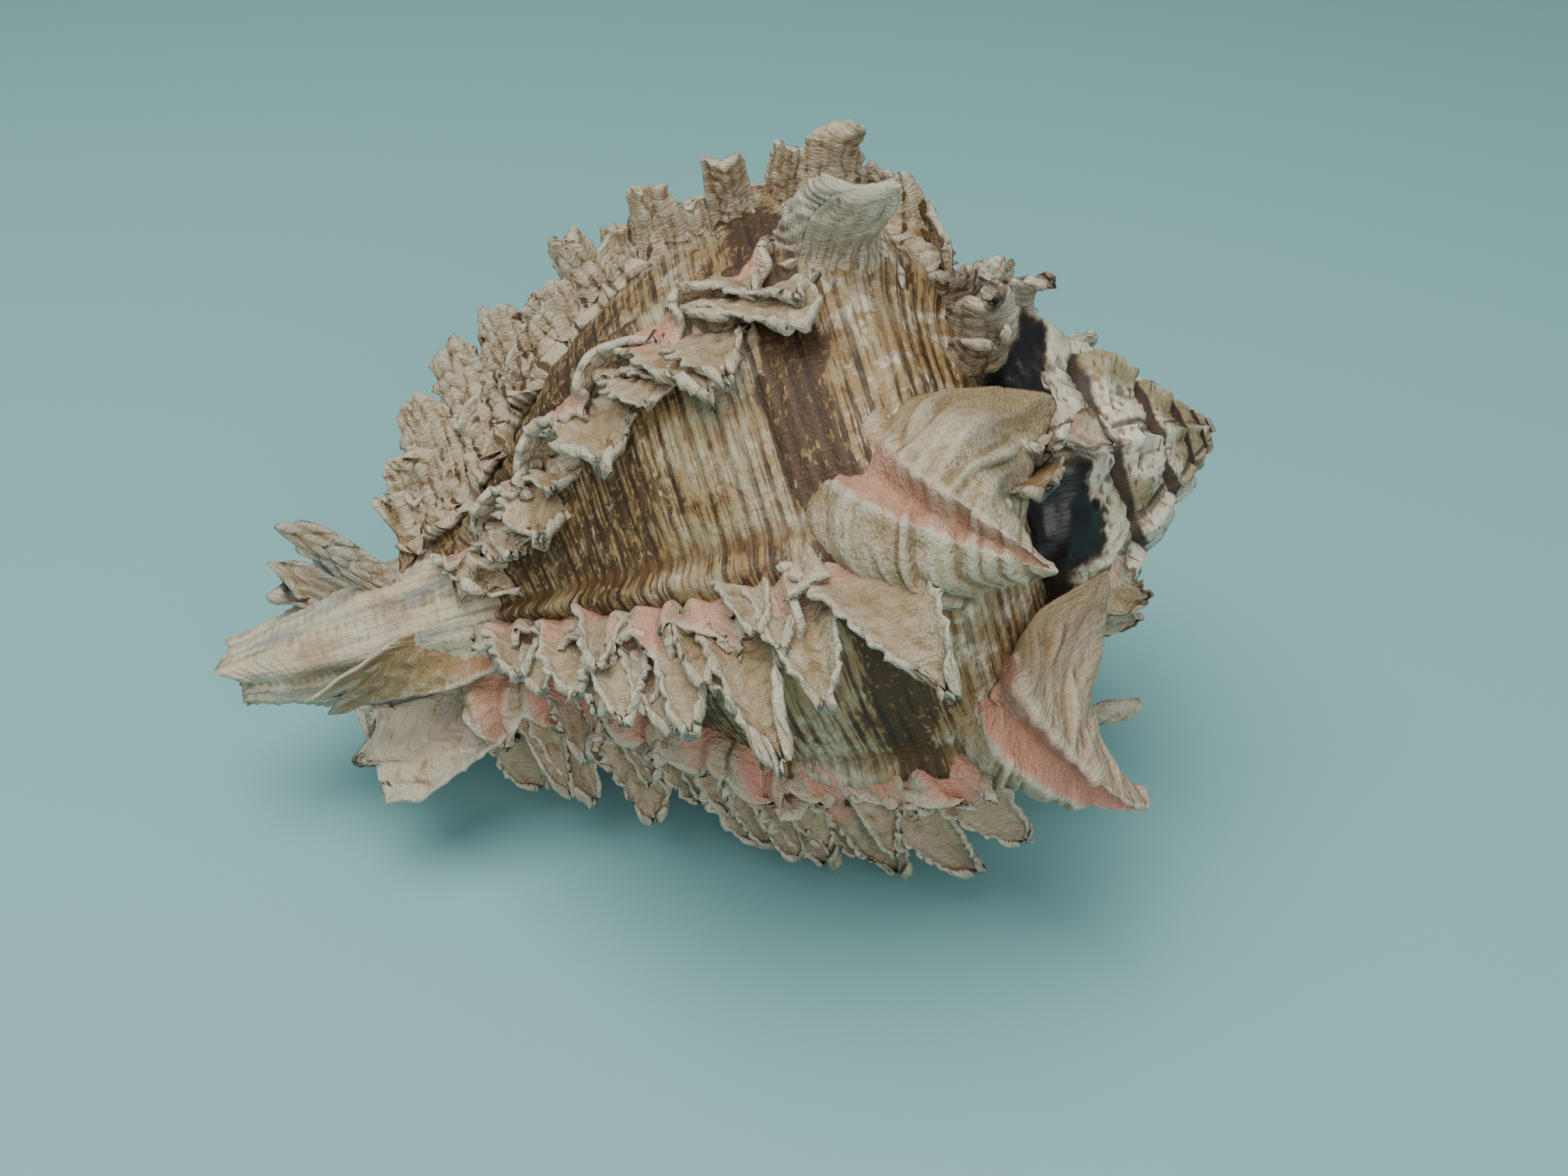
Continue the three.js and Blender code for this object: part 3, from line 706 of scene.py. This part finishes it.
def makeHorn(name, guides, size, seed, drop, material, pinkTo, threads):
    # the rings pushed out along their normals by waves, slabs and threads, and by scallops at the two rims
    rings = hornRings(guides)
    run = np.cumsum(np.linalg.norm(np.diff(rings, axis=1, prepend=rings[:, -1:]), axis=-1), axis=1)
    along = np.cumsum(np.linalg.norm(np.diff(rings.mean(1), axis=0, prepend=rings[:1].mean(1)), axis=-1))[:, None]
    normal = np.cross(np.gradient(rings, axis=0), np.roll(rings, -1, 1) - np.roll(rings, 1, 1))
    normal /= np.maximum(np.linalg.norm(normal, axis=-1, keepdims=True), 1e-9)
    middle = rings.mean(1, keepdims=True)
    normal *= np.sign((normal * (rings - middle)).sum(-1).mean())
    sides = rings.shape[1]
    around = np.arange(sides)[None, :] * 2 * math.pi / sides
    rough = ripple(run / (2.0 * size), along / (2.0 * size), seed) * 0.8
    rough = rough + ripple(run / (0.7 * size), along / (0.7 * size), seed + 1) * 0.3
    slabs = np.mod(along / (2.6 * size) + 1.6 * ripple(run / 3, along / 5, seed + 2), 1) * 0.2
    k = np.arange(sides)
    a = horn["sidePoints"]
    inner = ((k >= 4 * a) & (k < 6 * a)).astype(float)
    rim = np.minimum(np.abs(k - 4 * a), np.abs(k - 6 * a)) / a
    waves = np.cos(2 * math.pi * along / (2.3 * size) + 1.2 * ripple(along / 3, 0 * along, seed + 3) + (k > 5 * a) * 2)
    rough = rough + slabs + threads * np.cos(2 * math.pi * run / (1.3 * size))
    rough = rough + 2.2 * np.maximum(ripple(run / 1.3, along / 1.3, seed + 4) - 0.5, 0)
    rough = rough * horn["unevenness"] + horn["scallop"] * waves * np.exp(-(rim / 0.45) ** 2)[None, :]
    fade = 1 - 0.5 * np.linspace(0, 1, len(rings))[:, None] ** 2
    rings = rings + normal * (rough * size * fade)[..., None]
    marks = {"run": drop + k[None, :] * 0.35 * size, "front": inner[None, :],
             "edge": np.clip(1 - rim, 0, 1)[None, :], "tooth": np.linspace(0, 1, len(rings))[:, None] * pinkTo,
             "along": along}
    makePiece(name, rings, marks, material)


def guideLine(places, tip):
    stations = np.array([spot(*place) for place in places + tip])
    return smoothCurve(stations, horn["rings"])


shoulderHorns = {
    "V2": {"tip": [(26, 41, 21)], "drop": 36, "finish": "white", "pinkTo": 0.3, "threads": 0.05, "guides": [
        [(20.5, 23, 50), (23, 23.5, 42), (25.5, 26, 35), (28, 31, 28)],
        [(31, 32, 52), (30.8, 35.8, 43), (30, 37, 35), (28.5, 38, 27.5)],
        [(38.5, 33, 47), (37, 39.5, 39), (33.2, 41, 32.8), (29.5, 41.4, 27)],
        [(41.5, 31, 45), (39.2, 35.8, 37.5), (34.5, 38.3, 30.8), (30, 39.8, 25.9)],
        [(45, 33, 42), (41.3, 38.6, 35.5), (36, 40.4, 29.6), (31, 40.7, 25)],
        [(49, 32, 36), (44, 37, 28.5), (38, 39.1, 23.5), (31.8, 39.8, 22.4)],
        [(46, 30.5, 27), (43, 33.3, 21), (37.5, 35, 16.5), (31.5, 37.7, 19.3)],
        [(33, 26, 32), (32, 27.5, 28), (31, 29.5, 24), (29, 35, 22)]]},
    "V1": {"tip": [(19.8, 39.6, -36)], "drop": 32, "finish": "rosy", "pinkTo": 0.3, "threads": 0.05, "guides": [
        [(18.8, 23.5, 5), (20.5, 25, -9), (22.8, 28, -21), (23.6, 32, -31)],
        [(27, 28, 6), (26, 30, -5), (25, 33.5, -16), (22.8, 37, -29)],
        [(30.5, 32, 2), (30.5, 36, -4), (26.5, 38.5, -17), (22.5, 39.7, -29)],
        [(33, 28, -2), (32.5, 32.5, -10), (28.5, 35.5, -20), (24, 37.7, -30)],
        [(36, 31, -6), (34.5, 36.3, -12), (30, 38.3, -23), (25, 39.3, -32)],
        [(38.5, 30.5, -11), (37, 35, -17), (31.5, 37, -28), (25.8, 38.5, -35)],
        [(37, 29, -18), (35, 32, -24), (31, 33.5, -32), (25.2, 36.8, -37)],
        [(27, 21, -14), (27, 24.5, -23), (25.5, 29, -31), (23.7, 33.5, -36)]]},
    "V3": {"tip": [], "drop": 38, "finish": "striped", "pinkTo": 1.0, "threads": 0.2, "guides": [
        [(35.5, 31.5, 69), (34.8, 36.3, 76.5), (33, 41, 74.5), (32.4, 44.8, 72.8)],
        [(32.5, 30, 78), (33.6, 36.5, 80), (32, 42, 76), (31.2, 45.4, 72.5)],
        [(33.5, 31, 88), (33.6, 38, 84), (32, 43, 78.5), (31.5, 45.8, 73.8)],
        [(39.5, 31, 87), (38.2, 35.5, 83.5), (36, 41, 79), (34.8, 44.8, 76)],
        [(47.5, 33, 91), (43.5, 38.5, 86), (40, 43.5, 81.5), (37.6, 46, 77.5)],
        [(48.5, 32.5, 80), (43.2, 37.2, 81.5), (40.5, 42.8, 79), (38, 45.8, 76)],
        [(46, 33, 70), (42, 37, 78), (39.8, 42, 77), (37.3, 45, 75)],
        [(40.5, 33, 67), (38.5, 36.5, 76), (36.3, 41.3, 74.6), (34.8, 44.7, 73.2)]]},
}
# A frond: a thin leaf with a groove down its middle, curled at its sides, its edges ragged.
frond = {
    "rows": 58,
    "columns": 25,
    "thick": 0.8,
    "lappetPitch": 2.7,
    "wrinkle": 0.34,
}
# how wide the kinds are at their stations from root to end, how far they close, rise first and fray, and
# how far the pointed lappets stand out from their edges, and how rough they are
frondStations = [0, 0.15, 0.4, 0.7, 0.9, 1.0]
frondKinds = {
    "pointed": {"wide": [1.3, 1.2, 0.95, 0.68, 0.42, 0.16], "close": 1.25, "rise": 0.22, "fray": 0.05, "lappet": 0.34,
                "round": 0.12, "rough": 1.0},
    "leafy": {"wide": [1.0, 0.85, 0.85, 1.0, 0.9, 0.5], "close": 1.15, "rise": 0.4, "fray": 0.09, "lappet": 0.34,
              "round": 0.12, "rough": 1.0},
    "blunt": {"wide": [1.5, 1.15, 0.9, 0.8, 0.75, 0.7], "close": 1.0, "rise": 0.15, "fray": 0.07, "lappet": 0.16,
              "round": 0.03, "rough": 1.0},
    "scale": {"wide": [1.1, 1.1, 1.05, 0.95, 0.75, 0.4], "close": 1.1, "rise": 0.3, "fray": 0.08, "lappet": 0.2,
              "round": 0.12, "rough": 1.0},
    "ragged": {"wide": [1.0, 1.05, 1.1, 1.1, 0.85, 0.3], "close": 0.8, "rise": 0.3, "fray": 0.1, "lappet": 0.45,
               "round": 0.1, "rough": 1.0},
    "ribbon": {"wide": [0.9, 0.85, 0.85, 0.9, 1.0, 0.95], "close": 0.6, "rise": 0.06, "fray": 0.12, "lappet": 0.08,
               "round": 0.0, "rough": 0.2},
}


def makeFrond(name, root, tip, crest, half, deep, size, seed, drop, material, kind, fineness=1.0):
    # across: an arc that closes as it leaves the root; along: a quadratic curve that starts along the normal
    style = frondKinds[kind]
    foot, end = spot(*root), spot(*tip)
    normal = spot(0, 1, crest) - np.array([0.15, 0, 0])
    onward = spot(0, 1, crest + 90)
    s = np.linspace(0, 1, int(frond["rows"] * fineness))[:, None]
    u = np.linspace(-1, 1, int(frond["columns"] * fineness))[None, :]
    length = np.linalg.norm(end - foot)
    control = foot + (end - foot) * 0.4 + normal * style["rise"] * length
    frayed = ripple(u * 6, 0 * u, seed) * style["fray"]
    t = (s * (1 + frayed - style["round"] * np.abs(u) ** 2.5))[..., None]
    path = (1 - t) ** 2 * foot + 2 * t * (1 - t) * control + t ** 2 * end
    way = 2 * (1 - t) * (control - foot) + 2 * t * (end - control)
    way /= np.linalg.norm(way, axis=-1, keepdims=True)
    # its width runs along the shell's axis, or across it for a ribbon, which runs along the axis itself
    wide = np.cross(normal, onward) if kind == "ribbon" else np.array([1.0, 0, 0])
    side = wide - (wide * way).sum(-1, keepdims=True) * way
    side /= np.linalg.norm(side, axis=-1, keepdims=True)
    out = np.cross(side, way)
    out *= np.sign((out * onward).sum(-1)[0].mean())
    width = half * np.interp(s, frondStations, style["wide"]) * (1 + 0.12 * ripple(s * 4, 0 * s, seed + 1))
    along = s * length
    phase = math.pi * along / (frond["lappetPitch"] * size) + np.sign(u) * 0.9 + seed
    phase = phase + ripple(along / 2.5, np.sign(u) * 3, seed + 2) * 1.2
    lappets = (1 - np.abs(np.sin(phase))) ** 1.5 * (0.7 + 0.6 * ripple(along / 3, np.sign(u) * 5, seed + 7))
    width = width * (1 + style["lappet"] * lappets * np.abs(u) ** 4)
    sweep = 0.9 + (style["close"] - 0.9) * smoothStep(0.1, 0.45, s)
    turn = u * sweep
    across = width * np.sin(turn) / np.sin(np.minimum(sweep, math.pi / 2))
    rise = deep * (width / half) ** 0.5 * (1 - np.cos(turn)) * smoothStep(-0.05, 0.2, s)
    wiggle = 0.25 * half * ripple(s * 2.5, 0 * s, seed + 3) * smoothStep(0, 0.4, s) * (1 - smoothStep(0.85, 1, s))
    crease = ripple(across / (0.9 * size), along / (2.6 * size), seed + 4) * frond["wrinkle"] * style["rough"] * size
    crease = crease + ripple(across / (0.45 * size), along / (0.6 * size), seed + 5) * 0.14 * size
    front = path + side * (across + wiggle)[..., None] + out * (rise + crease)[..., None]
    behind = crossNormal(front)
    behind *= np.sign((behind * out).sum(-1).mean())
    thick = frond["thick"] * size * (1 + 2.2 * (1 - s) ** 3) * (1 - 0.55 * u ** 2)
    steps = np.mod(along / (1.7 * size) + 0.9 * ripple(across / 1.5, along / 4, seed + 6), 1) * 0.14 * style["rough"] * size
    ridges = 0.12 * size * np.cos(2 * math.pi * across / (1.1 * size) + ripple(along / 4, 0 * along, seed + 8))
    back = front - behind * (thick + steps + ridges)[..., None]
    rings = np.concatenate([front, back[:, ::-1]], 1)
    both = np.concatenate([across, across[:, ::-1]], 1)
    marks = {"run": drop + both / size, "front": np.concatenate([1 + 0 * across, 0 * across], 1), "along": along / size,
             "edge": np.maximum(np.concatenate([np.abs(u), np.abs(u)], 1), s ** 4), "tooth": s}
    makePiece(name, rings, marks, material)


# The spines of each varix: the shoulder's kind, half width and depth, then those of the others.
spineKinds = {
    "V0": ("pointed", 3.2, 2.4, "pointed", 2.6, 2.0),
    "V1": ("pointed", 4.0, 3.0, "pointed", 3.4, 1.8),
    "V2": ("pointed", 4.0, 3.0, "pointed", 3.3, 2.2),
    "V3": ("leafy", 4.0, 3.0, "ragged", 3.9, 1.2),
    "V4": ("pointed", 4.6, 3.4, "blunt", 3.0, 1.7),
    "V5": ("pointed", 4.6, 3.4, "leafy", 2.8, 2.0),
    "lip": ("pointed", 4.6, 3.4, "leafy", 3.0, 2.0),
}


# Curled scales by the suture: root, tip, the angle they face and half width.
sutureScales = [
    [(28, 25, 80), (27.5, 31.0, 77), 80, 3.0],
    [(26, 24, 72), (24.5, 30.5, 69), 72, 3.2],
    [(27, 25, 65), (25.2, 29.5, 60), 65, 2.8],
    [(25, 21, 42), (22.5, 27.0, 38), 60, 3.6],
    [(26.5, 23, 34), (24.0, 28.5, 30), 50, 3.4],
]


smallFrom = {"V1": 50, "V2": 50, "V3": 45}   # the drop from which a varix has smaller spines between the others
gapShares = {"V1": (0.33, 0.68), "V2": (0.33, 0.68), "V3": (0.2, 0.45, 0.72)}   # where in each gap, if not halfway


def makeSpines():
    for name, varix in varices.items():
        lean = np.array(varix["lean"], float)
        material = frillMaterials[finishes[name]]
        for number, (base, drop, reach, angle, groove) in enumerate(varix["teeth"]):
            title = "spine" + name.capitalize() + "x" + str(number)
            crest = varix["crest"] + np.interp(base, lean[:, 0], lean[:, 1])
            seed = 100 + 20 * list(varices).index(name) + number
            if number == 0 and name in shoulderHorns:
                spec = shoulderHorns[name]
                guides = np.stack([guideLine(places, spec["tip"]) for places in spec["guides"]])
                makeHorn(title, guides, 1.3, seed, spec["drop"], frillMaterials[spec["finish"]], spec["pinkTo"],
                         spec["threads"])
                continue
            kind, half, deep = spineKinds[name][:3] if number == 0 else spineKinds[name][3:]
            kind = "ragged" if name == "V4" and base > 66 else kind   # fingers above, leaves below
            half *= 1.5 if title == "spineV2x1" else 1.0              # the broad one below the horn
            root = (base, float(bodyReach(base, crest)) - 2.0, crest)
            makeFrond(title, root, (drop, reach, angle), crest, half, deep, 1.0, seed, base, material, kind)
        # smaller ones between them, which stand a little off the crest
        teeth = np.array(varix["teeth"], float)[:, :4]
        start = int(abs(varix["crest"]))
        rng = np.random.default_rng(60 + start)
        gaps = [(1 - f) * teeth[:-1] + f * teeth[1:] for f in gapShares.get(name, (0.5,))]
        for number, (base, drop, reach, angle) in enumerate(np.concatenate(gaps)):
            if base < smallFrom.get(name, 0):
                continue
            crest = varix["crest"] + np.interp(base, lean[:, 0], lean[:, 1])
            inner = float(bodyReach(base, crest))
            share, aside = rng.uniform(0.45, 0.9), rng.uniform(-7, 6)
            tip = (base + (drop - base) * share, inner + (reach - inner) * share + 1.0, crest + (angle - crest) * share + aside)
            kind, half, deep = spineKinds[name][3:]
            makeFrond("smallSpine" + name.capitalize() + "x" + str(number), (base, inner - 2.0, crest + aside), tip, crest,
                      half * 0.7, deep * 0.7, 0.8, 700 + number + start, base, material, kind, 0.7)
    for number, (root, tip, crest, half) in enumerate(sutureScales):
        makeFrond("sutureScale" + str(number), root, tip, crest, half, 2.4, 0.8, 500 + number, 20,
                  frillMaterials["scaly" if number % 2 else "dark"], "scale", 0.8)
    # the same on the earlier whorls, smaller with each one back
    for step in range(2, 11):
        crest = shell["firstVarix"] - step * shell["varixStep"] + 12
        size = float(growth(crest))
        root = (34 * size, float(bodyReach(34 * size, crest)) - 2.0 * size, crest)
        tip = (25 * size, 35.5 * size, crest - 10)
        makeFrond("earlierSpine" + str(step), root, tip, crest, 5.0 * size, 3.0 * size, size, 400 + step, 35,
                  frillMaterials["scaly"], "pointed")


# The canal: a tube down the axis with an open slit on its underside, and the ends of older canals.
canal = {"slitAngle": -107.0, "slitHalf": 13.0, "wall": 2.6, "rings": 150, "sides": 90}


def makeCanal():
    # rings of an opened loop: out round from one side of the slit to the other, back inside the bore
    drop = np.linspace(58, 119.5, canal["rings"])[:, None]
    outer = np.interp(drop, canalFine[:, 0], canalFine[:, 1])
    share = np.linspace(0, 1, canal["sides"])[None, :]
    opening = canal["slitHalf"] * np.interp(drop, [58, 75, 119.5], [0.3, 0.8, 1.5])
    around = canal["slitAngle"] + opening + share * (360 - 2 * opening)
    height = drop + 0 * around
    end = smoothStep(100, 119, drop)
    rough = ripple(height / 9, around / 9, 31) * 0.5 + ripple(height / 2.0, around / 9, 33) * 0.2
    rough = rough + 0.14 * np.cos(around * math.pi / 11 + ripple(height / 12, 0, 37)) * smoothStep(75, 90, drop)
    rough = rough + 0.16 * ripple(height / 0.8, around / 12, 35) + 0.12 * np.cos(height * 5.2 + 0.8 * ripple(around / 9, 0 * around, 36))
    height = height + end * 1.6 * (ripple(around / 14, 0 * around, 34) - 0.6)
    outside = spot(height, outer + rough, around)
    bore = np.maximum(outer - canal["wall"], 1.6)
    inside = spot(height, bore + 0 * around, around)[:, ::-1]
    rings = np.concatenate([outside, inside], 1)
    marks = {"run": np.concatenate([height, height], 1), "turn": np.concatenate([around, around[:, ::-1]], 1),
             "within": np.concatenate([0 * around, 0 * around + 1], 1)}
    makePiece("canal", rings, marks, canalMaterial)


# The flared ends of older canals, which stand off it: root, tip, the angle they face, half width, depth, finish.
oldCanals = [
    [(90, 3.3, 10), (103, 15.2, 86), 120, 2.8, 1.4, "canal"],
    [(98, 3.0, 20), (110, 9.9, 104), 124, 3.1, 1.2, "canal"],
    [(84, 7, 10), (104, 10.8, 2), 10, 4.2, 1.4, "tan"],
    [(80, 6, -42), (104, 14.2, -36), -30, 5.8, 2.4, "grey"],
    [(80, 6, -100), (98, 17, -96), -100, 4.0, 2.4, "grey"],
    [(84, 5, 175), (106, 13, 178), 175, 4.2, 2.2, "grey"],
]


def makeOldCanals():
    for number, (root, tip, crest, half, deep, finish) in enumerate(oldCanals):
        makeFrond("oldCanal" + str(number), root, tip, crest, half, deep, 1.0, 40 + number, 80,
                  frillMaterials[finish], "ribbon")


makeLastWhorl()
makeSpire()
for name, varix in varices.items():
    makeVarix("varix" + name.capitalize(), varix, frillMaterials[finishes[name]])
makeSpines()
makeCanal()
makeOldCanals()
print(f"the shell: {len(madeTriangles)} pieces, {sum(madeTriangles)} triangles, the most in one {max(madeTriangles)}")

# The camera, lights and floor.
view = {"place": (-0.0043, -0.1490, 0.1329), "down": 35.3, "heading": 4.8, "roll": 0.4, "lens": 35.0}


def makeCamera():
    camera = bpy.data.cameras.new("camera")
    camera.lens, camera.sensor_width = view["lens"], 36.0
    camera.clip_start, camera.clip_end = 0.01, 20
    seen = bpy.data.objects.new("camera", camera)
    bpy.context.scene.collection.objects.link(seen)
    down, heading, roll = [math.radians(view[k]) for k in ("down", "heading", "roll")]
    forward = np.array([math.sin(heading) * math.cos(down), math.cos(heading) * math.cos(down), -math.sin(down)])
    right = np.array([math.cos(heading), -math.sin(heading), 0])
    up = np.cross(right, forward)
    right, up = right * math.cos(roll) + up * math.sin(roll), up * math.cos(roll) - right * math.sin(roll)
    turn = mathutils.Matrix((right, up, -forward)).transposed()
    seen.matrix_world = mathutils.Matrix.Translation(view["place"]) @ turn.to_4x4()
    bpy.context.scene.camera = seen


def makeLight(name, place, size, watts, colour):
    light = bpy.data.lights.new(name, "AREA")
    light.shape, light.size, light.energy, light.color = "SQUARE", size, watts, colour
    lamp = bpy.data.objects.new(name, light)
    bpy.context.scene.collection.objects.link(lamp)
    lamp.location = place
    lamp.rotation_euler = (mathutils.Vector((0, 0, 0.03)) - lamp.location).to_track_quat("-Z", "Y").to_euler()


def makeStage():
    mesh = bpy.data.meshes.new("floor")
    mesh.from_pydata([(-3, -3, 0), (3, -3, 0), (3, 3, 0), (-3, 3, 0)], [], [(0, 1, 2, 3)])
    floor = bpy.data.objects.new("floor", mesh)
    bpy.context.scene.collection.objects.link(floor)
    paint = bpy.data.materials.new("floor")
    paint.use_nodes = True
    surface = paint.node_tree.nodes["Principled BSDF"]
    surface.inputs["Base Color"].default_value = (0.165, 0.37, 0.375, 1)
    surface.inputs["Roughness"].default_value = 0.7
    mesh.materials.append(paint)
    world = bpy.data.worlds.new("studio")
    world.use_nodes = True
    world.node_tree.nodes["Background"].inputs["Color"].default_value = (0.80, 0.88, 0.92, 1)
    world.node_tree.nodes["Background"].inputs["Strength"].default_value = 0.31
    bpy.context.scene.world = world


print("setting the camera, floor and lights")
makeCamera()
makeStage()
makeLight("softTop", (-0.15, -0.1, 0.75), 0.6, 8.2, (1.0, 0.97, 0.92))
makeLight("softFront", (0.1, -0.75, 0.45), 0.6, 4.8, (1.0, 0.97, 0.93))
